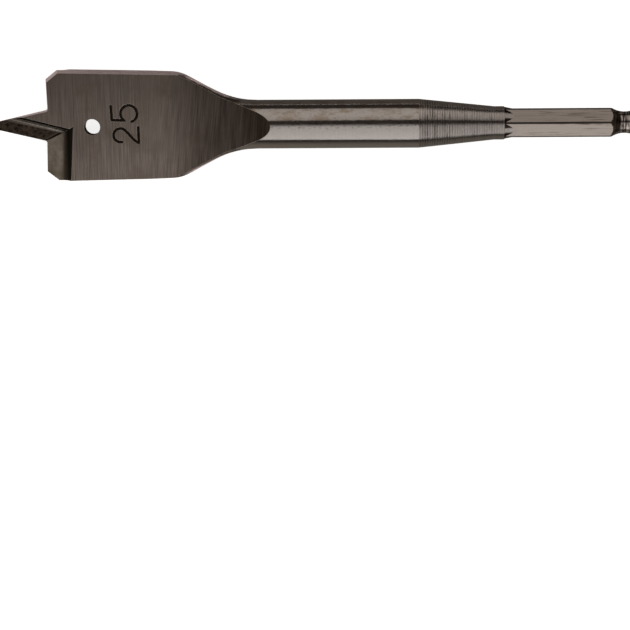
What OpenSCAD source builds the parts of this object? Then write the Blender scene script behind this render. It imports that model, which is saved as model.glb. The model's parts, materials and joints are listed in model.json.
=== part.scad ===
// Spade drill bit, forged and ground from one bar: a flat blade with a centre
// point, a round shaft and a quarter inch hexagon shank.
// Sizes are in mm. The bit is drawn along X from its tip, with the blade in the
// XY plane, and is then laid down on its shaft and one lower edge of the blade.
// It is the same after half a turn about its axis, so each ground cut is made
// twice. The cutting edges are those on the near face below and on the far face above.

/* [Overall] */
// Length from the tip to the end of the shank
overall_length = 156; // [140:1:170]
// Cutting diameter, which is the widest width of the blade
cut_diameter = 25; // [20:1:30]

/* [Blade] */
// Thickness of the flat part of the blade
blade_thickness = 2.7; // [2.2:0.1:3.4]
// Distance from the tip to the rounded shoulder corner of the blade
shoulder_x = 42.7; // [40:0.1:48]
// Angle at which the blade narrows towards the shank on each side
back_taper = 1.2; // [0.5:0.1:2]
// Relief angle of the ground side edges
side_relief = 14; // [6:0.5:16]
// Distance from the tip to the start of the hollow ramp that ends the flat
ramp_x = 42.5; // [38:0.5:48]
// Radius of the wheel that ground the flat and its ramp
ramp_radius = 66; // [45:1:90]

/* [Shoulder] */
// Slope of the shoulder in plan
shoulder_slope = 28; // [20:1:40]
// Radius of the rounded corner where the blade ends
corner_radius = 9; // [4:0.1:12]
// Radius of the hollow between shoulder and shaft
neck_radius = 20; // [12:0.5:28]
// Lean of the shoulder's forged sides, which meet in a ridge on the middle plane
forged_lean = 20; // [14:0.5:26]
// Slope of the forged sides in plan, less than the shoulder's own
forged_slope = 24.5; // [20:0.5:27]
// How much narrower the forged sides are than the shoulder's outline at the end of its slope
forged_inset = 0.37; // [0.2:0.01:0.6]

/* [Point] */
// Half angle of the centre point
point_half_angle = 12.3; // [9:0.1:16]
// Half width of the blunt end of the point
tip_half_width = 0.07; // [0.04:0.01:0.2]
// Relief angle of the point's side faces
point_relief = 6; // [4:0.5:12]
// Height of the point's cutting edge over the middle plane at the tip
point_edge_tip = 0.12; // [0.05:0.01:0.4]
// Width of the ground flute from the cutting edge to its wall
flute_width = 2.5; // [2:0.05:3.2]
// Rake angle of the flute
flute_rake = 9; // [4:0.5:10]
// Radius at the foot of the flute's wall
flute_radius = 1.3; // [0.8:0.05:1.6]
// Plan angle of the line on which the flute ends in the lip's groove
flute_end = 27; // [22:0.5:30]
// Radius of the inner corner between the point and each lip
notch_radius = 0.6; // [0.3:0.05:1]

/* [Lips] */
// Distance from the tip to the cutting lips at the axis
lip_x = 14.9; // [12:0.1:18]
// Angle by which the outer ends of the lips lead
lip_lead = 1.5; // [0:0.5:6]
// Clearance angle behind the lips
lip_relief = 12; // [6:0.5:15]
// Depth of the rake groove at the cutting edge
lip_depth = 0.45; // [0.3:0.05:0.8]
// Rake angle of the groove behind the lip
lip_rake = 2.5; // [0:0.5:5]
// Width of the groove's floor behind the lip
lip_run = 3.6; // [2.5:0.1:5]
// Angle by which the groove's wall leans to the same side as the lip
groove_lead = 4; // [0:0.5:8]
// Radius of the wall that ends the groove
lip_radius = 4.3; // [2:0.1:5.5]
// Length of the chamfer at each outer corner, along the axis
chamfer_length = 2.3; // [1:0.1:4]
// Width of the chamfer at each outer corner, across the axis
chamfer_width = 1.85; // [0.8:0.05:3]
// Relief angle of the chamfer
chamfer_relief = 19; // [8:0.5:22]

/* [Hole] */
// Distance from the tip to the middle of the hole
hole_x = 25.2; // [23:0.1:34]
// Distance of the hole from the axis
hole_off = 0.3; // [0:0.1:1]
// Diameter of the hole
hole_d = 3.6; // [2:0.1:5]

/* [Shaft] */
// Diameter of the round shaft
shaft_d = 10.9; // [9:0.1:12]
// Distance from the tip to the start of the turned cone
cone_x = 98.4; // [90:0.1:105]
// Length of the turned cone
cone_length = 16.8; // [12:0.1:20]
// Diameter of the collar at the foot of the cone
collar_d = 7.44; // [7.4:0.01:8]
// Length of the collar
collar_length = 2.2; // [1:0.1:4]
// Height of the step at the end of the collar
collar_step = 0.12; // [0.05:0.01:0.25]
// Length of the short cone that runs into the hexagon
runout_length = 2.3; // [1:0.1:4]

/* [Shank] */
// Width of the hexagon across its flats
hex_af = 6.35; // [6.3:0.01:6.4]
// Diameter to which the hexagon's corners are turned
hex_corner_d = 7.08; // [6.9:0.02:7.3]
// Turn of the hexagon against the blade
hex_clock = -5.5; // [-30:0.5:30]
// Distance from the end of the shank to the middle of the retaining groove
groove_from_end = 11.8; // [9:0.1:14]
// Diameter at the bottom of the retaining groove
groove_neck_d = 4.76; // [4.2:0.02:5.2]
// Radius of the retaining groove's hollow
groove_radius = 5.3; // [3:0.1:8]
// Length of the chamfer at the end of the shank
end_chamfer = 1.1; // [0.5:0.1:2]

/* [Hidden] */
$fn = 96;
half_t = blade_thickness / 2;
half_w = cut_diameter / 2;
shaft_r = shaft_d / 2;
hex_r = hex_af / 2;
// Arcs are larger by this much than their tangent lines need, so that they cross them
ease = 0.003;
// First cutting corner of the blade's side
side_x = lip_x + chamfer_length;
// Half width of the blade at the shoulder
shoulder_w = half_w - (shoulder_x - side_x) * tan(back_taper);
// The shoulder runs as an outer arc, a straight slope and an inner arc
slope_drop = shoulder_w - shaft_r - (corner_radius + neck_radius) * (1 - cos(shoulder_slope));
slope_start = [shoulder_x + corner_radius * sin(shoulder_slope),
               shoulder_w - corner_radius * (1 - cos(shoulder_slope))];
slope_end = [slope_start[0] + slope_drop / tan(shoulder_slope), slope_start[1] - slope_drop];
neck_x = slope_end[0] + neck_radius * sin(shoulder_slope);
collar_x = cone_x + cone_length;
runout_x = collar_x + collar_length;
runout_end = runout_x + runout_length;
// Height of the cutting edge over the middle plane at the lip
edge_z = half_t - lip_depth;
// Climb of the point's cutting edge from the tip to the lip
flute_climb = atan((edge_z - point_edge_tip) / lip_x);
// Plan angle of the point's cutting edge, which widens as it climbs
edge_angle = atan(tan(point_half_angle)
    + tan(point_relief) / cos(point_half_angle) * (edge_z - point_edge_tip) / lip_x);
// Half width of the point between its cutting edges at the lips
edge_out = tip_half_width + lip_x * tan(edge_angle);
// Where the inner corner lies on the middle plane, out from the axis along the lip
corner_run = (half_t * tan(lip_relief) + lip_x * cos(lip_lead) - tip_half_width * sin(lip_lead))
    / cos(point_half_angle - lip_lead);
corner_out = (lip_x - corner_run * cos(point_half_angle)) * sin(lip_lead)
    + (tip_half_width + corner_run * sin(point_half_angle)) * cos(lip_lead);
// Lean of the inner corner within the lip's clearance face
corner_lean = atan(tan(point_relief) / cos(point_half_angle)
    - tan(lip_relief) * tan(point_half_angle));
// Lying, the bit touches the ground with its shaft and the blade's lower far edge
rest_reach = half_w - blade_thickness * tan(side_relief);
rest_lean = asin(shaft_r / norm([rest_reach, half_t])) - atan2(half_t, rest_reach);
groove_x = overall_length - groove_from_end;
steel = [0.33, 0.30, 0.28];

// A turned solid about X from a list of [x, radius] points
module turned(points) {
    rotate([0, 90, 0])
        rotate_extrude()
            polygon([for (p = points) [p[1], p[0]]]);
}

// The bar: blade blank, shoulder, shaft and cones, all round about the axis
module blank() {
    rotate([0, 90, 0])
        rotate_extrude()
            difference() {
                union() {
                    polygon([[0, 0], [shoulder_w + shoulder_x * tan(back_taper + 1), 0],
                             [shoulder_w, shoulder_x], [slope_start[1], slope_start[0]],
                             [slope_end[1], slope_end[0]], [shaft_r, neck_x], [shaft_r, cone_x],
                             [collar_d / 2, collar_x], [collar_d / 2, runout_x],
                             [collar_d / 2 - collar_step, runout_x],
                             [hex_r - 0.06, runout_end], [0, runout_end]]);
                    intersection() {
                        translate([shoulder_w - corner_radius, shoulder_x])
                            circle(corner_radius + ease);
                        translate([shaft_r, shoulder_x - 1])
                            square([half_w, corner_radius * sin(shoulder_slope) + 2]);
                    }
                }
                translate([shaft_r + neck_radius, neck_x])
                    circle(neck_radius + ease);
            }
}

// What the wheel takes off one face: the air over the flat and its hollow ramp
module face_cut() {
    translate([0, 20, 0])
        rotate([90, 0, 0])
            linear_extrude(40)
                union() {
                    translate([-5, half_t])
                        square([ramp_x + 5, 15]);
                    intersection() {
                        translate([ramp_x, half_t + ramp_radius - ease])
                            circle(ramp_radius);
                        translate([ramp_x - 4, half_t - 1])
                            square([34, 16]);
                    }
                }
}

// Air over one forged side of the shoulder, on the near face; side is 1 or -1
module forged_air(side) {
    foot = [slope_end[0], slope_end[1] - forged_inset];
    before = foot[0] - shoulder_x + 1;
    rotate([side * forged_lean, 0, 0])
        translate([0, 0, -3])
            linear_extrude(14)
                union() {
                    polygon([[foot[0], side * foot[1]],
                             [foot[0] - before, side * (foot[1] + before * tan(forged_slope))],
                             [foot[0] - before, side * (half_w + 6)], [foot[0], side * (half_w + 6)]]);
                    intersection() {
                        translate([foot[0] + neck_radius * sin(forged_slope),
                                   side * (foot[1] + neck_radius * cos(forged_slope))])
                            circle(neck_radius + ease);
                        translate([foot[0] - 0.5, side > 0 ? 0 : -half_w - 6])
                            square([neck_radius * sin(forged_slope) + 0.5, half_w + 6]);
                    }
                }
}

// Air outside one ground edge: from a point of the edge, with the edge's plan angle
// and relief; the edge is at height z and the face falls inwards below it
module edge_air(at, z, angle, relief, before, after, out = 16) {
    translate([at[0], at[1], z])
        rotate([0, 0, angle])
            rotate([relief, 0, 0])
                translate([-before, -out, -9])
                    cube([before + after, out, 18]);
}

// The open corner between the point and one lip
module notch() {
    difference() {
        intersection() {
            edge_air([0, -tip_half_width], 0, -point_half_angle, point_relief, 5, 26);
            edge_air([lip_x, 0], half_t, -90 - lip_lead, lip_relief, 10, 20, 22);
        }
        translate([lip_x, 0, half_t])
            rotate([0, 0, -90 - lip_lead])
                rotate([lip_relief, 0, 0])
                    translate([corner_out, 0, -half_t / cos(lip_relief)])
                        rotate([0, corner_lean, 0])
                            linear_extrude(8, center = true)
                                corner_rest(point_half_angle - lip_lead);
    }
}

// What the wheel's edge leaves in the inner corner, seen along the corner
module corner_rest(angle) {
    middle = [notch_radius * (1 - sin(angle)) / cos(angle), -notch_radius];
    side = [cos(angle), -sin(angle)];
    difference() {
        polygon([[middle[0], 0.4], middle, middle - (notch_radius + 0.4) * side, [-0.6, 0.4]]);
        translate(middle)
            circle(notch_radius + 0.02);
    }
}

// Section of a ground groove: a floor, a hollow corner and a leaning wall
module groove_section(run, radius) {
    wall = 70;
    foot = [run + radius * sin(wall), radius - radius * cos(wall)];
    union() {
        translate([-5, 0])
            square([5 + run, 6]);
        translate([run, radius])
            circle(radius + ease);
        polygon([[run - 0.5, radius], foot, [foot[0] + 5 * cos(wall), foot[1] + 5 * sin(wall)],
                 [run - 0.5, 6]]);
    }
}

// The rake groove behind one lip, up to the line on which the flute ends
module lip_cut() {
    intersection() {
        translate([lip_x, 0, edge_z])
            rotate([0, 0, -groove_lead])
                translate([0, 3, 0])
                    rotate([90, 0, 0])
                        linear_extrude(20)
                            rotate(-lip_rake)
                                groove_section(lip_run, lip_radius);
        translate([lip_x, -edge_out, 0])
            rotate([0, 0, flute_end])
                translate([-30, -30, -6])
                    cube([60, 30.12, 16]);
    }
}

// The flute along the point's cutting edge, which ends in the lip's groove
module flute_cut() {
    intersection() {
        translate([0, -tip_half_width, point_edge_tip])
            rotate([0, 0, -edge_angle])
                rotate([0, -flute_climb, 0])
                    translate([-4, 0, 0])
                        rotate([90, 0, 90])
                            linear_extrude(30)
                                rotate(-flute_rake)
                                    groove_section(flute_width, flute_radius);
        translate([lip_x, -edge_out, 0])
            rotate([0, 0, flute_end])
                translate([-30, 0, -6])
                    cube([60, 30, 16]);
    }
}

// All cuts of one half turn
module half_cuts() {
    face_cut();
    forged_air(1);
    forged_air(-1);
    notch();
    edge_air([lip_x, chamfer_width - half_w], half_t, -atan(chamfer_width / chamfer_length),
             chamfer_relief, 2.5, 6, 6);
    edge_air([side_x, -half_w], half_t, back_taper, side_relief, 8, 40);
    lip_cut();
    flute_cut();
}

// The hexagon with turned corners, a chamfered end and the retaining groove
module shank() {
    difference() {
        intersection() {
            rotate([hex_clock, 0, 0])
                rotate([0, 90, 0])
                    translate([0, 0, collar_x + 0.6])
                        cylinder(h = overall_length - collar_x, r = hex_r / cos(30), $fn = 6);
            turned([[collar_x + 0.6, 0], [collar_x + 0.6, hex_corner_d / 2],
                    [overall_length - end_chamfer, hex_corner_d / 2],
                    [overall_length, hex_corner_d / 2 - end_chamfer * 0.6], [overall_length, 0]]);
        }
        rotate([0, 90, 0])
            rotate_extrude()
                translate([groove_neck_d / 2 + groove_radius, groove_x])
                    circle(groove_radius);
    }
}

// The whole bit, laid down with the middle of its length over the origin
module spade_bit() {
    color(steel)
        translate([-overall_length / 2, 0, shaft_r])
            rotate([rest_lean, 0, 0])
                union() {
                    difference() {
                        blank();
                        half_cuts();
                        rotate([180, 0, 0])
                            half_cuts();
                        translate([hole_x, -hole_off, -5])
                            cylinder(h = 10, d = hole_d);
                    }
                    shank();
                }
}

spade_bit();
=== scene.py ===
import json
import math

import bpy
from mathutils import Matrix, Vector
from mathutils.geometry import delaunay_2d_cdt


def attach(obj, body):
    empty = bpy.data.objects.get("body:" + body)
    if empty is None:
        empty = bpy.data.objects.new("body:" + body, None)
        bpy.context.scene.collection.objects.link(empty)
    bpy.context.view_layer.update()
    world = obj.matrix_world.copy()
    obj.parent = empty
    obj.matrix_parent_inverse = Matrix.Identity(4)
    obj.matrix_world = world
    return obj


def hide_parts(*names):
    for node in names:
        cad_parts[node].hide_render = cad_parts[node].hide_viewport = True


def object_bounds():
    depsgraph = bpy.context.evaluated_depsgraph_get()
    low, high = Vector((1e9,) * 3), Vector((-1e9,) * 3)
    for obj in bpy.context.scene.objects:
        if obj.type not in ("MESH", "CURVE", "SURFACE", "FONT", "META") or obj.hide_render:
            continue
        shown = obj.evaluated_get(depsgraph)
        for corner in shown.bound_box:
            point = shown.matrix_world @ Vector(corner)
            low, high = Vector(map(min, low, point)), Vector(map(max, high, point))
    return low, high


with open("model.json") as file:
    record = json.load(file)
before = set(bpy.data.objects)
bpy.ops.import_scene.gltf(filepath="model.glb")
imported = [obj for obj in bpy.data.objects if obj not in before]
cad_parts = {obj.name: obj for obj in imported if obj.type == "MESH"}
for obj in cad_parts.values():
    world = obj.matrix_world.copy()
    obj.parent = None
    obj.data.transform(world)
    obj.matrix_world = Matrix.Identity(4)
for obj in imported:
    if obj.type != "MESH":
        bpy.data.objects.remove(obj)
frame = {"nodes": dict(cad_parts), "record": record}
cad_box = [list(corner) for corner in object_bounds()]
scene = bpy.context.scene
scene.view_settings.view_transform = "Standard"
MM = 0.001

# The bit's own frame, in mm: x along its axis from the tip, z out of the near face of the blade
MOUNTS = {mount["name"]: mount for mount in frame["record"]["mounts"]}
FACE_AXIS = Vector(MOUNTS["blade_hole"]["axis"])
LEAN = math.atan2(-FACE_AXIS.y, FACE_AXIS.z)
AXIS_HEIGHT = MOUNTS["shank_end"]["pos_m"][2]
TIP = Vector((cad_box[0][0], 0, AXIS_HEIGHT))
TO_ROW = Matrix.Translation(TIP) @ Matrix.Rotation(LEAN, 4, "X") @ Matrix.Scale(MM, 4)
TO_BIT = TO_ROW.inverted()
TURN_BIT = Matrix.Rotation(-LEAN, 3, "X")
TURN_ROW = TURN_BIT.transposed()

# Places along the bit, in mm from the tip, that tell its faces apart: those of a stretch start after
# its START, reach past its REACH and stop before its END, and the lips' edges start before LIP_EDGE
LIP_START = 14
LIP_EDGE = 15.5
HOLE_START = 23
BLADE_REACH = 30
SHOULDER_START = 41.8
SHAFT_REACH = 62
CONE_START = 98
RUNOUT_START = 117.3
SHANK_REACH = 120
GROOVE_START = 140
GROOVE_MIDDLE = 144.2
GROOVE_END = 148

# A corner of the hexagon, in degrees from the bit's z axis towards its y axis
HEX_CORNER = 5.5

# The number on the near face, in mm
NUMBER_FOOT_X = 35.65
NUMBER_LEFT_Y = -3.87
NUMBER_DEPTH = 0.2
NUMBER_STROKE = 0.62
DIGIT_PITCH = 4.81

# Places that agree to this many decimals of a mm are the same place
WELD_DIGITS = 4

# Noise stays between these two values nearly everywhere
NOISE = (0.3, 0.7)


def cad_faces(mesh):
    """The faces of the CAD part, each a list of triangles of (place, normal), in the bit's frame."""
    parent = list(range(len(mesh.vertices)))

    def find(i):
        while parent[i] != i:
            parent[i] = parent[parent[i]]
            i = parent[i]
        return i

    for polygon in mesh.polygons:
        first = find(polygon.vertices[0])
        for index in polygon.vertices[1:]:
            parent[find(index)] = first
    places = [TO_BIT @ vertex.co for vertex in mesh.vertices]
    normals = [TURN_BIT @ corner.vector for corner in mesh.corner_normals]
    faces = {}
    for polygon in mesh.polygons:
        loops = polygon.loop_indices
        triangle = [(places[mesh.loops[loop].vertex_index], normals[loop]) for loop in loops]
        faces.setdefault(find(polygon.vertices[0]), []).append(triangle)
    return list(faces.values())


def zone_of(triangles):
    """Which finish a CAD face has, told by its place and by the way it faces."""
    places = [place for triangle in triangles for place, _ in triangle]
    low = Vector([min(place[i] for place in places) for i in range(3)])
    high = Vector([max(place[i] for place in places) for i in range(3)])
    facing = Vector()
    for triangle in triangles:
        for _, normal in triangle:
            facing += normal / (3 * len(triangles))
    level = abs(facing.z) > 0.9
    steep = abs(facing.z) < 0.45
    lengthwise = abs(facing.x) < 0.1
    to_tip = facing.x < -0.1
    flat = facing.length > 0.99
    wide = math.hypot(high.y - low.y, high.z - low.z) > 1
    if low.x > RUNOUT_START and high.x > SHANK_REACH:
        if wide and flat and lengthwise:
            return "hex_flat"
        if low.x > GROOVE_START and high.x < GROOVE_END:
            return "groove"
        return "corner" if lengthwise else "turned"
    if low.x > RUNOUT_START:
        return "runout"
    if low.x > CONE_START:
        return "cone"
    if low.x > SHOULDER_START:
        if high.x > SHAFT_REACH:
            return "ground" if level else "turned"
        return "forged"
    if high.x > BLADE_REACH:
        return "ground" if level else "side"
    if low.x > HOLE_START:
        return "hole"
    if to_tip and steep and low.x < LIP_EDGE:
        return "side"
    if low.x > LIP_START:
        return "lip"
    return "flute" if level else "flute_wall"


def arc(centre, radius, start, end, steps):
    """Points on an arc, with angles in degrees."""
    turns = [math.radians(start + (end - start) * i / steps) for i in range(steps + 1)]
    return [Vector((centre[0] + radius * math.cos(t), centre[1] + radius * math.sin(t))) for t in turns]


def round_end(centre, width, sides=16):
    """The outline of a stroke's round end."""
    return arc(centre, width / 2, 0, 360 * (sides - 1) / sides, sides - 1)


def ribbon(points, width):
    """The outline of a stroke of constant width along a line of points."""
    left = []
    right = []
    for i, point in enumerate(points):
        ahead = points[min(i + 1, len(points) - 1)] - points[max(i - 1, 0)]
        across = Vector((-ahead.y, ahead.x)).normalized() * width / 2
        left.append(point + across)
        right.append(point - across)
    return right + left[::-1]


def numeral_outlines():
    """The plain number on the blade, as overlapping stroke outlines on the near face.

    The points of a digit are first given in mm from the left end of its foot, as it is read.
    """
    five_bowl = arc((1.75, 2.1), 1.86, 145, -163, 40)
    five_top = [Vector((3.52, 6.12)), Vector((0.36, 5.95))]
    five_stem = [five_top[1], five_bowl[0]]
    two_hook = arc((1.72, 4.12), 1.54, 190, -42, 32)
    two_bend = [Vector((2.05, 2.28)), Vector((0.82, 1.22)), Vector((0.25, 0.55))]
    two_heel = Vector((0.02, 0.02))
    two_slope = [two_hook[-1], *two_bend, two_heel]
    two_foot = [two_heel, Vector((3.5, 0.05))]
    digits = ((DIGIT_PITCH, (five_bowl, five_top, five_stem)), (0, (two_hook, two_slope, two_foot)))
    outlines = []
    for shift, lines in digits:
        # The number reads up the blade, so its top points to the tip
        left = NUMBER_LEFT_Y + shift
        for line in lines:
            shapes = [ribbon(line, NUMBER_STROKE)]
            shapes += [round_end(end, NUMBER_STROKE) for end in (line[0], line[-1])]
            for shape in shapes:
                outlines.append([Vector((NUMBER_FOOT_X - p.y, left + p.x)) for p in shape])
    return outlines


def engrave(triangles):
    """The flat near face with the number sunk into it: face and cut triangles of (place, normal)."""
    height = triangles[0][0][0].z
    points = []
    faces = []
    for triangle in triangles:
        faces.append(list(range(len(points), len(points) + 3)))
        points += [place.to_2d() for place, _ in triangle]
    first_stroke = len(faces)
    for outline in numeral_outlines():
        faces.append(list(range(len(points), len(points) + len(outline))))
        points += outline
    spots, _, cells, _, _, sources = delaunay_2d_cdt(points, [], faces, 0, 10 ** -WELD_DIGITS)
    up = Vector((0, 0, 1))
    deep = up * NUMBER_DEPTH
    face = []
    cut = []
    sides = []
    for cell, source in zip(cells, sources):
        if not source:
            continue
        places = [Vector((spots[i].x, spots[i].y, height)) for i in cell]
        if max(source) < first_stroke:
            face.append([(place, up) for place in places])
        else:
            cut.append([(place - deep, up) for place in places])
            sides += zip(cell, cell[1:] + cell[:1])
    # A side that no neighbour shares is on the rim, and gets a wall
    shared = set(sides)
    for a, b in sides:
        if (b, a) in shared:
            continue
        start = Vector((spots[a].x, spots[a].y, height))
        end = Vector((spots[b].x, spots[b].y, height))
        inward = Vector((start.y - end.y, end.x - start.x, 0)).normalized()
        cut.append([(start, inward), (start - deep, inward), (end - deep, inward)])
        cut.append([(start, inward), (end - deep, inward), (end, inward)])
    return face, cut


def true_hollow(triangles):
    """A hollow ramp with the exact normals of the round it lies on, found from three of its places."""
    places = sorted((place for triangle in triangles for place, _ in triangle), key=lambda p: p.x)
    picked = (places[0], places[len(places) // 2], places[-1])
    a, b, c = [Vector((place.x, place.z)) for place in picked]
    twice = 2 * (a.x * (b.y - c.y) + b.x * (c.y - a.y) + c.x * (a.y - b.y))
    middle_x = (a.dot(a) * (b.y - c.y) + b.dot(b) * (c.y - a.y) + c.dot(c) * (a.y - b.y)) / twice
    middle_z = (a.dot(a) * (c.x - b.x) + b.dot(b) * (a.x - c.x) + c.dot(c) * (b.x - a.x)) / twice
    made = []
    for triangle in triangles:
        made.append([(p, Vector((middle_x - p.x, 0, middle_z - p.z)).normalized()) for p, _ in triangle])
    return made


def triangles_by_zone(mesh):
    """The part's triangles by finish, with the number cut into the near face."""
    zones = {}
    for triangles in cad_faces(mesh):
        zone = zone_of(triangles)
        if zone == "ground":
            near = all(abs(normal.z - 1) < 1e-4 for triangle in triangles for _, normal in triangle)
            ramp = max(place.x for triangle in triangles for place, _ in triangle) > SHAFT_REACH
            if near:
                triangles, cut = engrave(triangles)
                zones.setdefault("number", []).extend(cut)
            if ramp:
                triangles = true_hollow(triangles)
        zones.setdefault(zone, []).extend(triangles)
    return zones


def sharp_edges(mesh, normals):
    """For each edge, whether the corner normals of its two faces differ."""
    alike = 0.01
    first = {}
    sharp = [False] * len(mesh.edges)
    for polygon in mesh.polygons:
        loops = list(polygon.loop_indices)
        for loop, after in zip(loops, loops[1:] + loops[:1]):
            edge = mesh.loops[loop].edge_index
            ends = {mesh.loops[i].vertex_index: normals[i] for i in (loop, after)}
            other = first.setdefault(edge, ends)
            sharp[edge] |= any((ends[v] - other[v]).length > alike for v in ends)
    return sharp


def build(name, zones, order):
    """One mesh object from triangles by zone, each face with the material index of its zone in the given
    order.
    """
    index_of = {}
    places = []
    faces = []
    slots = []
    normals = []
    for slot, zone in enumerate(order):
        for triangle in zones[zone]:
            face = []
            for place, _ in triangle:
                key = tuple(round(value, WELD_DIGITS) for value in place)
                if key not in index_of:
                    index_of[key] = len(places)
                    places.append(TO_ROW @ place)
                face.append(index_of[key])
            if len(set(face)) == 3:
                faces.append(face)
                slots.append(slot)
                normals += [TURN_ROW @ normal for _, normal in triangle]
    mesh = bpy.data.meshes.new(name)
    mesh.from_pydata(places, [], faces)
    mesh.polygons.foreach_set("material_index", slots)
    mesh.polygons.foreach_set("use_smooth", [True] * len(faces))
    mesh.edges.foreach_set("use_edge_sharp", sharp_edges(mesh, normals))
    mesh.normals_split_custom_set(normals)
    made = bpy.data.objects.new(name, mesh)
    scene.collection.objects.link(made)
    return made


def join(tree, value, socket):
    """Links an output to the socket, or sets the socket to a value."""
    if isinstance(value, bpy.types.NodeSocket):
        tree.links.new(value, socket)
    else:
        socket.default_value = value


def add(tree, kind, settings=None, **inputs):
    """A shader node with its settings, and with inputs set or linked by name, spaces as underscores."""
    made = tree.nodes.new("ShaderNode" + kind)
    for name, value in (settings or {}).items():
        setattr(made, name, value)
    for name, value in inputs.items():
        join(tree, value, made.inputs[name.replace("_", " ")])
    return made


def calc(tree, kind, a, b=0.0, c=0.0):
    """A math node's result."""
    made = add(tree, "Math", {"operation": kind})
    for value, socket in zip((a, b, c), made.inputs):
        join(tree, value, socket)
    return made.outputs[0]


def vector_calc(tree, kind, a, b):
    """A vector math node's result, which is a number for a dot product."""
    made = add(tree, "VectorMath", {"operation": kind})
    for value, socket in zip((a, b), made.inputs):
        join(tree, value, socket)
    return made.outputs["Value" if kind == "DOT_PRODUCT" else "Vector"]


def blend(tree, share, a, b):
    """A colour between a and b."""
    made = add(tree, "Mix", {"data_type": "RGBA"})
    # A mix node has these names once for each kind of data, so its colour sockets are found by number
    for value, number in ((share, 0), (a, 6), (b, 7)):
        join(tree, value, made.inputs[number])
    return made.outputs[2]


def span(tree, value, low, high, to_low=0.0, to_high=1.0):
    """A value taken from one range to another and kept within it."""
    ranges = {"From_Min": low, "From_Max": high, "To_Min": to_low, "To_Max": to_high}
    return add(tree, "MapRange", {"clamp": True}, Value=value, **ranges).outputs[0]


def bit_place(tree, stretch=(1, 1, 1), slant=0.0):
    """The place on the bit in its own frame, turned in plan and then stretched along each axis."""
    moved = add(tree, "Mapping", {"vector_type": "POINT"},
                Vector=add(tree, "TexCoord").outputs["Object"],
                Location=Matrix.Rotation(slant, 3, "Z") @ TO_BIT.translation,
                Rotation=(-LEAN, 0, slant),
                Scale=(1 / MM, 1 / MM, 1 / MM))
    return vector_calc(tree, "MULTIPLY", moved.outputs[0], stretch)


def axes(tree, place):
    """The X, Y and Z of a place."""
    return add(tree, "SeparateXYZ", Vector=place).outputs


def noise(tree, stretch, detail, rough, offset=0.0, slant=0.0):
    """Noise over the bit; the stretch is how many cells there are to a mm along each axis."""
    made = add(tree, "TexNoise", {"noise_dimensions": "4D"}, Vector=bit_place(tree, stretch, slant),
               W=offset, Scale=1.0, Detail=detail, Roughness=rough)
    return made.outputs["Fac"]


def times(color, factor):
    """A colour made darker or lighter, with its alpha."""
    return tuple(channel * factor for channel in color) + (1,)


def steel(name):
    """A new bare metal material, with its tree and its shader."""
    material = bpy.data.materials.new(name)
    material.use_nodes = True
    shader = material.node_tree.nodes["Principled BSDF"]
    shader.inputs["Metallic"].default_value = 1.0
    return material, material.node_tree, shader


def dress(tree, shader, tone, rough):
    """Gives the shader its colour and its roughness."""
    join(tree, tone, shader.inputs["Base Color"])
    join(tree, rough, shader.inputs["Roughness"])


def rounded_edge(tree, width):
    """The normal of edges rounded by a width in mm, and how close the surface is to one, from 0 to 1."""
    rounded = add(tree, "Bevel", {"samples": 6}, Radius=width * MM).outputs[0]
    flat = add(tree, "NewGeometry").outputs["Normal"]
    return rounded, span(tree, vector_calc(tree, "DOT_PRODUCT", rounded, flat), 0.995, 0.9)


def uneven(tree, shader, height, distance, strength, normal=None):
    """Bump from a height between 0 and 1; the distance is the full height in mm."""
    bump = add(tree, "Bump", Strength=strength, Distance=distance * MM, Height=height)
    if normal:
        tree.links.new(normal, bump.inputs["Normal"])
    tree.links.new(bump.outputs[0], shader.inputs["Normal"])


def brushed(tree, shader, amount, flat=False):
    """Gloss that spreads along the bit's axis, as the marks run across a flat face or round the axis."""
    quarter_turn = 0.25
    shader.inputs["Anisotropic"].default_value = amount
    shader.inputs["Anisotropic Rotation"].default_value = quarter_turn
    if flat:
        normal = add(tree, "NewGeometry").outputs["Normal"]
        tangent = vector_calc(tree, "CROSS_PRODUCT", normal, (1, 0, 0))
    else:
        tangent = add(tree, "Tangent", {"direction_type": "RADIAL", "axis": "X"}).outputs[0]
    tree.links.new(tangent, shader.inputs["Tangent"])


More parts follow.
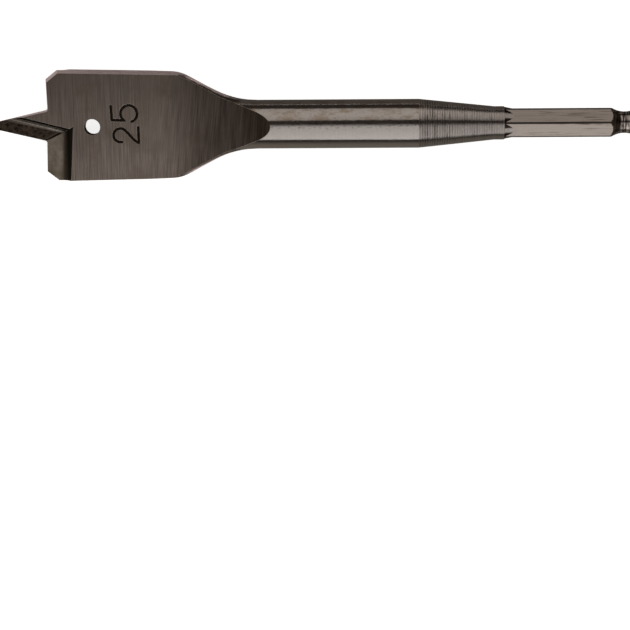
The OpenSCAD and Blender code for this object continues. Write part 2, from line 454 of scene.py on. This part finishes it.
def ground_steel():
    """The blade's faces: ground crosswise, brownish grey, with cloudy stains, painted shade, and edges
    made bright by wear and painted highlight.
    """
    color = (0.177, 0.147, 0.13)
    stained = (0.125, 0.098, 0.078, 1)
    far_shade = (0.085, 0.067, 0.055, 1)
    darkened = ((0.014, 0.01, 0.007, 1), (0.06, 0.043, 0.03, 1))
    bright = (0.5, 0.43, 0.36, 1)
    material, tree, shader = steel("ground_steel")
    brushed(tree, shader, 0.7, flat=True)
    place = axes(tree, bit_place(tree))
    # The lines are upright on the blade and slant on the ramp
    upright = noise(tree, (4.0, 0.1, 0.1), 3.0, 0.68)
    slanting = noise(tree, (3.4, 0.1, 0.1), 3.0, 0.68, offset=7.0, slant=0.1)
    ramp = span(tree, place["X"], 34, 44)
    fine = calc(tree, "MULTIPLY_ADD", ramp, calc(tree, "SUBTRACT", slanting, upright), upright)
    broad = noise(tree, (0.8, 0.08, 0.08), 3.0, 0.55, offset=5.0)
    cloud = noise(tree, (0.16, 0.2, 0.2), 3.0, 0.55, offset=2.0)
    lines = calc(tree, "MULTIPLY_ADD", broad, 0.3, calc(tree, "MULTIPLY", fine, 0.7))
    tone = blend(tree, span(tree, lines, 0.36, 0.64), times(color, 0.62), times(color, 1.5))
    tone = blend(tree, span(tree, cloud, 0.48, 0.72, 0.0, 0.65), tone, stained)
    # Painted shade: the blade is darker towards its far edge, and the ramp darker still, more so at its
    # end
    tone = blend(tree, span(tree, place["Y"], -9, 12, 0.0, 0.55), tone, far_shade)
    ramp_shade = span(tree, place["X"], 41, 49, 0.0, 0.5)
    end_shade = span(tree, place["X"], 56, 63, 0.0, 0.34)
    brown = blend(tree, span(tree, lines, 0.38, 0.62), *darkened)
    tone = blend(tree, calc(tree, "ADD", ramp_shade, end_shade), tone, brown)
    # The edges are paler, partly from wear and partly as a painted highlight
    rounded, wear_and_highlight = rounded_edge(tree, 0.12)
    tone = blend(tree, wear_and_highlight, tone, bright)
    dress(tree, shader, tone, span(tree, broad, *NOISE, 0.31, 0.42))
    uneven(tree, shader, fine, 0.004, 0.5, rounded)
    return material


def side_steel():
    """The ground side edges of the blade and the point: paler, with marks along the edge."""
    color = (0.72, 0.62, 0.63)
    material, tree, shader = steel("side_steel")
    marks = noise(tree, (0.5, 1.2, 3.0), 3.0, 0.6)
    tone = blend(tree, span(tree, marks, *NOISE), times(color, 0.78), times(color, 1.1))
    # The chamfers and the edges before them are glossier than the long edges
    polish = span(tree, axes(tree, bit_place(tree))["X"], 17.9, 17.6, 0.0, 0.26)
    rough = calc(tree, "SUBTRACT", span(tree, marks, *NOISE, 0.58, 0.7), polish)
    dress(tree, shader, tone, rough)
    uneven(tree, shader, marks, 0.008, 0.5, rounded_edge(tree, 0.1)[0])
    return material


def forged_steel():
    """The forged sides of the shoulder: pale along the ridge and dark towards the faces."""
    ridge_pale = (0.76, 0.665, 0.66, 1)
    dark = (0.07, 0.054, 0.045, 1)
    material, tree, shader = steel("forged_steel")
    place = axes(tree, bit_place(tree))
    rough = noise(tree, (0.5, 0.9, 0.9), 4.0, 0.6, offset=2.0)
    height = calc(tree, "ABSOLUTE", place["Z"])
    away = calc(tree, "MULTIPLY_ADD", span(tree, rough, *NOISE), 0.5, height)
    away = calc(tree, "SUBTRACT", away, span(tree, place["X"], 47, 56, 0.0, 0.5))
    tone = blend(tree, span(tree, away, 0.75, 1.4), ridge_pale, dark)
    dress(tree, shader, tone, span(tree, away, 0.75, 1.7, 0.66, 0.36))
    uneven(tree, shader, rough, 0.02, 0.6, rounded_edge(tree, 0.12)[0])
    return material


def lip_steel():
    """The grooves behind the lips: olive grey with faint scratches and stains, and painted shade at the
    end wall.
    """
    color = (0.146, 0.122, 0.1)
    stained = (0.105, 0.09, 0.064, 1)
    darkened = (0.008, 0.006, 0.004, 1)
    bright = (0.4, 0.34, 0.28, 1)
    material, tree, shader = steel("lip_steel")
    stain = noise(tree, (0.55, 0.4, 0.4), 5.0, 0.65, offset=1.0)
    scratch = noise(tree, (4.0, 0.5, 0.5), 2.0, 0.5, offset=8.0)
    tone = blend(tree, span(tree, stain, 0.35, 0.7), times(color, 1.2), stained)
    tone = blend(tree, span(tree, scratch, 0.6, 0.75, 0.0, 0.4), tone, times(color, 1.9))
    # Painted shade: the end wall is darkened
    wall = span(tree, axes(tree, bit_place(tree))["X"], 18.2, 19.6, 0.0, 0.95)
    tone = blend(tree, wall, tone, darkened)
    # The edges are paler, partly from wear and partly as a painted highlight
    rounded, wear_and_highlight = rounded_edge(tree, 0.08)
    tone = blend(tree, calc(tree, "MULTIPLY", wear_and_highlight, 0.6), tone, bright)
    dress(tree, shader, tone, span(tree, stain, *NOISE, 0.28, 0.42))
    uneven(tree, shader, scratch, 0.006, 0.4, rounded)
    return material


def flute_steel():
    """The flute of the point: dark and mottled, with a painted highlight line and a painted shadow line
    where it meets the lip.
    """
    mottled = ((0.026, 0.018, 0.013, 1), (0.28, 0.225, 0.18, 1))
    arris_highlight = (0.3, 0.25, 0.2, 1)
    step_shadow = (0.01, 0.007, 0.005, 1)
    material, tree, shader = steel("flute_steel")
    mottle = noise(tree, (1.1, 1.6, 1.6), 5.0, 0.68, offset=4.0)
    tone = blend(tree, span(tree, mottle, 0.38, 0.66), *mottled)
    # How far a place is, in mm, from the slanting end of the flute, the same way round on the far side
    end_x, end_y, end_start = (-0.455, 0.89, 9.81)
    place = axes(tree, bit_place(tree))
    turned = calc(tree, "MULTIPLY", place["Y"], calc(tree, "SIGN", place["Z"]))
    reach = calc(tree, "MULTIPLY_ADD", turned, end_y, end_start)
    reach = calc(tree, "MULTIPLY_ADD", place["X"], end_x, reach)
    off_line = calc(tree, "ABSOLUTE", calc(tree, "SUBTRACT", reach, 0.58))
    # A painted highlight along the edge and a painted shadow of the small step where the flute meets the
    # lip
    tone = blend(tree, span(tree, off_line, 0.16, 0.05, 0.0, 0.5), tone, arris_highlight)
    tone = blend(tree, span(tree, reach, 0.4, 0.3), tone, step_shadow)
    dress(tree, shader, tone, span(tree, mottle, *NOISE, 0.36, 0.22))
    uneven(tree, shader, mottle, 0.03, 0.6)
    return material


def flute_wall_steel():
    """The flute's wall and the hollow at its foot: painted shade dark at the wall, a painted highlight
    below.
    """
    darkened = (0.012, 0.009, 0.007, 1)
    dull = (0.13, 0.117, 0.098, 1)
    paler = (0.25, 0.226, 0.195, 1)
    fillet_highlight = ((0.42, 0.39, 0.355, 1), (0.66, 0.62, 0.57, 1))
    past_foot = (0.25, 0.216, 0.182, 1)
    lip_end_shade = (0.018, 0.013, 0.01, 1)
    material, tree, shader = steel("flute_wall_steel")
    mottle = noise(tree, (0.8, 1.6, 1.6), 4.0, 0.6, offset=4.0)
    # How much the surface leans away from its wall, the same way round on the near and the far face
    normal = add(tree, "NewGeometry").outputs["Normal"]
    sideways = vector_calc(tree, "DOT_PRODUCT", normal, TURN_ROW @ Vector((0, -1, 0)))
    outward = vector_calc(tree, "DOT_PRODUCT", normal, TURN_ROW @ Vector((0, 0, 1)))
    lean = calc(tree, "MULTIPLY", sideways, calc(tree, "SIGN", outward))
    # Painted light and shade by how the surface leans: dark on the wall, a highlight on the hollow, paler
    # past its foot
    light = blend(tree, span(tree, mottle, 0.35, 0.65), *fillet_highlight)
    tone = blend(tree, span(tree, lean, 0.64, 0.46), darkened, dull)
    tone = blend(tree, span(tree, lean, 0.46, 0.24), tone, paler)
    tone = blend(tree, span(tree, lean, 0.24, 0.11), tone, light)
    tone = blend(tree, span(tree, lean, 0.09, 0.0), tone, past_foot)
    # Painted shade along the flute's end at the lip
    tone = blend(tree, span(tree, axes(tree, bit_place(tree))["X"], 17.2, 19.2), tone, lip_end_shade)
    dress(tree, shader, tone, span(tree, mottle, *NOISE, 0.26, 0.16))
    uneven(tree, shader, mottle, 0.01, 0.6)
    return material


def hole_steel():
    """The wall of the hole: dark, with rings from the drill."""
    ringed = ((0.03, 0.024, 0.02, 1), (0.09, 0.075, 0.065, 1))
    material, tree, shader = steel("hole_steel")
    rings = noise(tree, (0.4, 0.4, 3.0), 3.0, 0.6)
    dress(tree, shader, blend(tree, span(tree, rings, *NOISE), *ringed), 0.4)
    uneven(tree, shader, rings, 0.02, 0.6)
    return material


def number_steel():
    """The sunk number: almost black and rough."""
    gritty = ((0.008, 0.006, 0.005, 1), (0.028, 0.022, 0.018, 1))
    material, tree, shader = steel("number_steel")
    grit = noise(tree, (4, 4, 4), 3.0, 0.6)
    dress(tree, shader, blend(tree, span(tree, grit, *NOISE), *gritty), 0.6)
    uneven(tree, shader, grit, 0.02, 0.6)
    return material


def turned_steel():
    """The round shaft and the shank's turned end: smooth, with brownish stains, flecks, faint lines."""
    color = (0.285, 0.262, 0.246)
    brown = (0.2, 0.152, 0.112, 1)
    grey = (0.13, 0.128, 0.13, 1)
    bright = (0.5, 0.43, 0.37, 1)
    material, tree, shader = steel("turned_steel")
    brushed(tree, shader, 0.4)
    lines = noise(tree, (2.6, 0.02, 0.02), 2.0, 0.5)
    stain = noise(tree, (0.28, 0.55, 0.55), 5.0, 0.65, offset=6.0)
    fleck = noise(tree, (1.3, 2.2, 2.2), 3.0, 0.6, offset=9.0)
    wavy = noise(tree, (0.35, 0.9, 0.9), 3.0, 0.6, offset=12.0)
    tone = blend(tree, span(tree, lines, 0.35, 0.65), times(color, 0.98), times(color, 1.02))
    # The stains are strongest on the far side, and the flecks along the middle
    side = axes(tree, bit_place(tree))["Y"]
    stained = span(tree, stain, 0.45, 0.66)
    stained = calc(tree, "MULTIPLY", stained, span(tree, side, 0.9, 1.8, 0.1, 1.0))
    tone = blend(tree, stained, tone, brown)
    flecked = span(tree, fleck, 0.52, 0.64)
    flecked = calc(tree, "MULTIPLY", flecked, span(tree, side, -0.9, 0.1, 0.08, 0.8))
    flecked = calc(tree, "MULTIPLY", flecked, span(tree, side, 1.6, 1.1, 0.3, 1.0))
    tone = blend(tree, flecked, tone, grey)
    # The edges are paler, partly from wear and partly as a painted highlight
    rounded, wear_and_highlight = rounded_edge(tree, 0.1)
    tone = blend(tree, calc(tree, "MULTIPLY", wear_and_highlight, 0.6), tone, bright)
    dress(tree, shader, tone, span(tree, stain, 0.4, 0.75, 0.13, 0.2))
    uneven(tree, shader, wavy, 0.03, 0.6, rounded)
    return material


def cone_steel():
    """The turned cone and its collar: open, uneven tool marks, with painted shade in their valleys and on
    the near side.
    """
    color = (0.3, 0.272, 0.256)
    valley_shade_color = (0.035, 0.028, 0.023, 1)
    pitch = 0.55
    material, tree, shader = steel("cone_steel")
    brushed(tree, shader, 0.4)
    place = axes(tree, bit_place(tree))
    drift = noise(tree, (0.8, 0.05, 0.05), 2.0, 0.5, offset=2.0)
    fine = noise(tree, (4.5, 0.35, 0.35), 4.0, 0.7, offset=4.0)
    patch = noise(tree, (0.5, 0.4, 0.4), 3.0, 0.6, offset=7.0)
    turn = calc(tree, "MULTIPLY", place["X"], 2 * math.pi / pitch)
    turn = calc(tree, "MULTIPLY_ADD", drift, 4.5, turn)
    ridge = calc(tree, "MULTIPLY_ADD", calc(tree, "SINE", turn), 0.5, 0.5)
    # The marks get shallower towards the thin end
    depth = span(tree, drift, 0.35, 0.65, 0.35, 1.0)
    depth = calc(tree, "MULTIPLY", depth, span(tree, place["X"], 101, 112, 1.0, 0.45))
    height = calc(tree, "MULTIPLY_ADD", ridge, depth, fine)
    # Painted shade in the valleys between the marks
    valley_shade = calc(tree, "MULTIPLY", span(tree, ridge, 0.55, 0.05), depth)
    valley_shade = calc(tree, "MULTIPLY", valley_shade, span(tree, fine, 0.64, 0.42, 0.0, 1.2))
    tone = blend(tree, span(tree, patch, *NOISE), times(color, 0.85), times(color, 1.15))
    # Painted shade: darker towards the near side
    tone = blend(tree, span(tree, place["Y"], 3.2, 1.0, 0.0, 0.55), tone, times(color, 0.5))
    tone = blend(tree, calc(tree, "MINIMUM", valley_shade, 0.85), tone, valley_shade_color)
    dress(tree, shader, tone, span(tree, patch, *NOISE, 0.16, 0.25))
    uneven(tree, shader, height, 0.09, 0.7, rounded_edge(tree, 0.08)[0])
    return material


def runout_steel():
    """The short cone over the ends of the flats: smooth, darker next to the hexagon's corners."""
    smooth = ((0.19, 0.172, 0.16, 1), (0.28, 0.256, 0.242, 1))
    darkened = (0.018, 0.013, 0.01, 1)
    sides = 6
    material, tree, shader = steel("runout_steel")
    place = axes(tree, bit_place(tree))
    angle = calc(tree, "ARCTAN2", place["Y"], place["Z"])
    angle = calc(tree, "MULTIPLY_ADD", angle, sides, math.radians(-sides * HEX_CORNER))
    corner = calc(tree, "COSINE", angle)
    lines = noise(tree, (2.4, 0.3, 0.3), 3.0, 0.6, offset=3.0)
    ragged = calc(tree, "MULTIPLY_ADD", lines, 0.8, calc(tree, "SUBTRACT", corner, 0.4))
    tone = blend(tree, span(tree, lines, *NOISE), *smooth)
    tone = blend(tree, span(tree, ragged, -0.6, -0.2), tone, darkened)
    dress(tree, shader, tone, span(tree, lines, *NOISE, 0.18, 0.28))
    uneven(tree, shader, lines, 0.02, 0.5, rounded_edge(tree, 0.06)[0])
    return material


def hex_steel():
    """The flats of the shank: drawn bar with lengthwise marks, and painted light on the near side."""
    color = (0.215, 0.187, 0.168)
    scraped = (0.04, 0.032, 0.027, 1)
    material, tree, shader = steel("hex_steel")
    drawn = noise(tree, (0.05, 2.6, 2.6), 4.0, 0.65)
    scrape = noise(tree, (0.16, 4.5, 4.5), 3.0, 0.6, offset=5.0)
    patch = noise(tree, (0.12, 0.4, 0.4), 2.0, 0.5, offset=9.0)
    tone = blend(tree, span(tree, drawn, *NOISE), times(color, 0.82), times(color, 1.18))
    # Painted light: the near side is lighter
    near_side = span(tree, axes(tree, bit_place(tree))["Y"], 0.3, -0.1, 0.0, 0.5)
    tone = blend(tree, near_side, tone, times(color, 1.42))
    mark = calc(tree, "MULTIPLY", span(tree, scrape, 0.55, 0.63), span(tree, patch, 0.38, 0.52))
    tone = blend(tree, calc(tree, "MULTIPLY", mark, 0.75), tone, scraped)
    dress(tree, shader, tone, span(tree, drawn, *NOISE, 0.22, 0.32))
    uneven(tree, shader, drawn, 0.006, 0.5, rounded_edge(tree, 0.08)[0])
    return material


def corner_steel():
    """The rounded corners of the hexagon: dark scale that the flats have lost."""
    scale = ((0.03, 0.024, 0.021, 1), (0.1, 0.085, 0.076, 1))
    material, tree, shader = steel("corner_steel")
    drawn = noise(tree, (0.08, 3.0, 3.0), 3.0, 0.6, offset=3.0)
    tone = blend(tree, span(tree, drawn, *NOISE), *scale)
    dress(tree, shader, tone, span(tree, drawn, *NOISE, 0.24, 0.36))
    uneven(tree, shader, drawn, 0.006, 0.5)
    return material


def groove_steel():
    """The retaining groove: flanks in painted shade and a streaked neck, with light flecks."""
    flank_shade_tones = ((0.012, 0.008, 0.006, 1), (0.05, 0.038, 0.03, 1))
    neck_tones = ((0.03, 0.023, 0.018, 1), (0.42, 0.37, 0.345, 1))
    flecked = (0.36, 0.31, 0.28, 1)
    material, tree, shader = steel("groove_steel")
    lines = noise(tree, (3.0, 0.3, 0.3), 3.0, 0.6)
    fleck = noise(tree, (1.6, 1.2, 1.2), 3.0, 0.6, offset=3.0)
    off_middle = calc(tree, "SUBTRACT", axes(tree, bit_place(tree))["X"], GROOVE_MIDDLE)
    off_middle = calc(tree, "ABSOLUTE", off_middle)
    # Painted shade: the flanks are dark and the neck keeps the steel's tone
    flank_shade = blend(tree, span(tree, lines, 0.35, 0.65), *flank_shade_tones)
    neck = blend(tree, span(tree, lines, 0.42, 0.58), *neck_tones)
    tone = blend(tree, span(tree, off_middle, 1.25, 0.75), flank_shade, neck)
    tone = blend(tree, span(tree, fleck, 0.57, 0.64, 0.0, 0.6), tone, flecked)
    dress(tree, shader, tone, span(tree, fleck, 0.4, 0.7, 0.24, 0.14))
    uneven(tree, shader, lines, 0.012, 0.6)
    return material


FINISHES = {"ground": ground_steel, "side": side_steel, "forged": forged_steel, "lip": lip_steel,
            "flute": flute_steel, "flute_wall": flute_wall_steel, "hole": hole_steel,
            "number": number_steel, "turned": turned_steel, "cone": cone_steel, "runout": runout_steel,
            "hex_flat": hex_steel, "corner": corner_steel, "groove": groove_steel}
bit = build("spade_bit_steel", triangles_by_zone(frame["nodes"]["spade_bit"].data), FINISHES)
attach(bit, "root")
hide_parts("spade_bit")
for finish in FINISHES.values():
    bit.data.materials.append(finish())

# The photograph's width and focal length, in pixels
PHOTO_WIDTH = 630.0
FOCAL_LENGTH = 1943.4

# The camera stands almost over the lying bit, as in the photograph, at a place in metres
SENSOR_WIDTH = 36.0
CAMERA_PLACE = Vector((0.01138, -0.10429, 0.43026))
CAMERA_BACK = Vector((0.0328, -0.1421, 0.9893)).normalized()
PHOTO_RIGHT = Vector((0.99946, 0.00224, -0.03281)).normalized()


def placed(place, right, up, back):
    """The matrix of a camera or lamp at a place, with its own axes given."""
    return Matrix.Translation(place) @ Matrix((right, up, back)).transposed().to_4x4()


def photo_camera():
    """The camera of the photograph."""
    data = bpy.data.cameras.new("camera")
    data.sensor_width = SENSOR_WIDTH
    data.lens = SENSOR_WIDTH * FOCAL_LENGTH / PHOTO_WIDTH
    data.clip_start = 0.01
    made = bpy.data.objects.new("camera", data)
    up = CAMERA_BACK.cross(PHOTO_RIGHT).normalized()
    made.matrix_world = placed(CAMERA_PLACE, up.cross(CAMERA_BACK), up, CAMERA_BACK)
    scene.collection.objects.link(made)
    return made


scene.camera = photo_camera()

# How far the lamps reach along X, in metres
LAMP_LEFT = -0.22
LAMP_RIGHT = 0.4


def softbox(name, near, far, radiance, bow, fade, color):
    """A lamp panel between two lines along X, the near and the far one.

    A line is given as degrees off the vertical towards the viewer and metres from the origin. The
    radiance goes from the near line's to the far line's, less a bow towards both, and fades out at
    the far line.
    """
    lines = []
    for angle, reach in (near, far):
        lines.append(Vector((0, -math.sin(math.radians(angle)), math.cos(math.radians(angle)))) * reach)
    middle = (lines[0] + lines[1]) / 2 + Vector(((LAMP_LEFT + LAMP_RIGHT) / 2, 0, 0))
    across = lines[1] - lines[0]
    data = bpy.data.lights.new(name, "AREA")
    data.shape = "RECTANGLE"
    data.size = LAMP_RIGHT - LAMP_LEFT
    data.size_y = across.length
    # With this energy, the strength that is linked further on is the panel's radiance
    data.energy = math.pi * data.size * data.size_y
    data.color = color
    data.use_nodes = True
    tree = data.node_tree
    share = axes(tree, add(tree, "NewGeometry").outputs["Parametric"])["Y"]
    off_middle = calc(tree, "SUBTRACT", share, 0.5)
    squared = calc(tree, "MULTIPLY", off_middle, off_middle)
    strength = span(tree, share, 0, 1, *radiance)
    strength = calc(tree, "MULTIPLY_ADD", squared, -bow, strength)
    strength = calc(tree, "MULTIPLY", strength, span(tree, share, 1, 1 - fade))
    tree.links.new(strength, tree.nodes["Emission"].inputs["Strength"])
    made = bpy.data.objects.new(name, data)
    side = Vector((1, 0, 0))
    up = across.normalized()
    made.matrix_world = placed(middle, side, up, side.cross(up))
    scene.collection.objects.link(made)


softbox("softbox_near", near=(89.6, 0.75), far=(15, 0.7), radiance=(1.42, 0.92), bow=0, fade=0.2,
        color=(1, 0.99, 0.98))
softbox("softbox_far", near=(-3.5, 0.7), far=(-64, 0.7), radiance=(0.92, 0.92), bow=1.0, fade=0.08,
        color=(1, 0.95, 0.9))


def room():
    """The world: dim over the bit, with lighter walls past its two ends."""
    dim_light = 0.07
    wall_light = 0.48
    dim_color = (1, 0.82, 0.7, 1)
    wall_color = (1, 0.93, 0.88, 1)
    made = bpy.data.worlds.new("room")
    made.use_nodes = True
    tree = made.node_tree
    toward = axes(tree, add(tree, "TexCoord").outputs["Generated"])
    walls = span(tree, calc(tree, "ABSOLUTE", toward["X"]), 0.4, 0.7)
    walls = calc(tree, "MULTIPLY", walls, span(tree, toward["Z"], 0.75, 0.45))
    background = tree.nodes["Background"].inputs
    join(tree, blend(tree, walls, dim_color, wall_color), background["Color"])
    join(tree, calc(tree, "MULTIPLY_ADD", walls, wall_light, dim_light), background["Strength"])
    return made


scene.world = room()


def table_shade_color(tree, place):
    """The table that the metal sees close to the bit, in bands by the place in metres, with painted shade
    in its darker bands.
    """
    far_side_shade = (0.3, 0.275, 0.258, 1)
    past_tip = (0.95, 0.9, 0.9, 1)
    under = (0.68, 0.655, 0.6, 1)
    dark_shade_band = (0.11, 0.103, 0.096, 1)
    near_side = (0.95, 0.93, 0.9, 1)
    # Painted shade in the darker bands: the far side, and a band on the near side
    color = blend(tree, span(tree, place["X"], -0.058, -0.066), far_side_shade, past_tip)
    color = blend(tree, span(tree, place["Y"], 0.006, -0.004), color, under)
    color = blend(tree, span(tree, place["Y"], -0.012, -0.03), color, dark_shade_band)
    return blend(tree, span(tree, place["Y"], -0.05, -0.1), color, near_side)


def paper():
    """The floor's material: white to the camera, with the bit's shadow."""
    made = bpy.data.materials.new("paper")
    made.use_nodes = True
    tree = made.node_tree
    tree.nodes.remove(tree.nodes["Principled BSDF"])
    place = axes(tree, add(tree, "TexCoord").outputs["Object"])
    table = add(tree, "BsdfDiffuse", Color=table_shade_color(tree, place))
    matt = add(tree, "BsdfDiffuse", Color=(0.8, 0.8, 0.8, 1))
    glow = add(tree, "Emission", Color=(1, 1, 1, 1), Strength=0.8)
    white = add(tree, "AddShader")
    tree.links.new(matt.outputs[0], white.inputs[0])
    tree.links.new(glow.outputs[0], white.inputs[1])
    # The white shows in metal and glass too, past the table with its painted shade close to the bit
    ray = add(tree, "LightPath").outputs
    away = calc(tree, "ADD", span(tree, place["Y"], -0.075, -0.105), span(tree, place["Y"], 0.3, 0.4))
    white_for = calc(tree, "MULTIPLY_ADD", ray["Is Glossy Ray"], away, ray["Is Transmission Ray"])
    pick = add(tree, "MixShader")
    tree.links.new(calc(tree, "MAXIMUM", white_for, ray["Is Camera Ray"]), pick.inputs[0])
    tree.links.new(table.outputs[0], pick.inputs[1])
    tree.links.new(white.outputs[0], pick.inputs[2])
    tree.links.new(pick.outputs[0], tree.nodes["Material Output"].inputs["Surface"])
    return made


# The floor, in metres: how far it reaches each way, and how far under the bit it lies, so as not to touch
FLOOR_REACH = 3
FLOOR_DROP = 0.05 * MM
floor_mesh = bpy.data.meshes.new("floor")
corners = [(x * FLOOR_REACH, y * FLOOR_REACH, 0) for x, y in ((-1, -1), (1, -1), (1, 1), (-1, 1))]
floor_mesh.from_pydata(corners, [], [(0, 1, 2, 3)])
floor_mesh.materials.append(paper())
floor = bpy.data.objects.new("floor", floor_mesh)
floor.location.z = -FLOOR_DROP
scene.collection.objects.link(floor)
